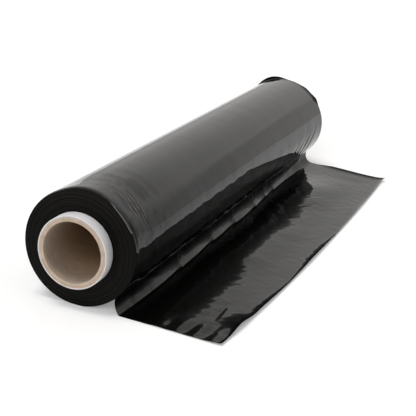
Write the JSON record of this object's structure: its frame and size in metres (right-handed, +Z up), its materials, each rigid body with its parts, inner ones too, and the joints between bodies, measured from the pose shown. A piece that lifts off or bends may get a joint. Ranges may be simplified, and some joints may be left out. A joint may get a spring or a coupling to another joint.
{
  "type": "stretch wrap roll",
  "caption": "Roll of black stretch wrap film wound on a white-faced paper core, lying on its side with its loose end laid out on the floor.",
  "frame": {"origin": "centre of the core's bore, half way along the roll", "axes": "+Y along the roll's axis from the end that shows to the far end, +Z up, +X towards the loose end of the film"},
  "size_m": [0.1868, 0.5211, 0.0964],
  "materials": {
    "core_board": "matte",
    "core_paper": "matte",
    "film": "gloss"
  },
  "bodies": {
    "root": {"core_tube": "core_board", "core_wrap": "core_paper", "stretch_film": "film"}
  },
  "joints": []
}
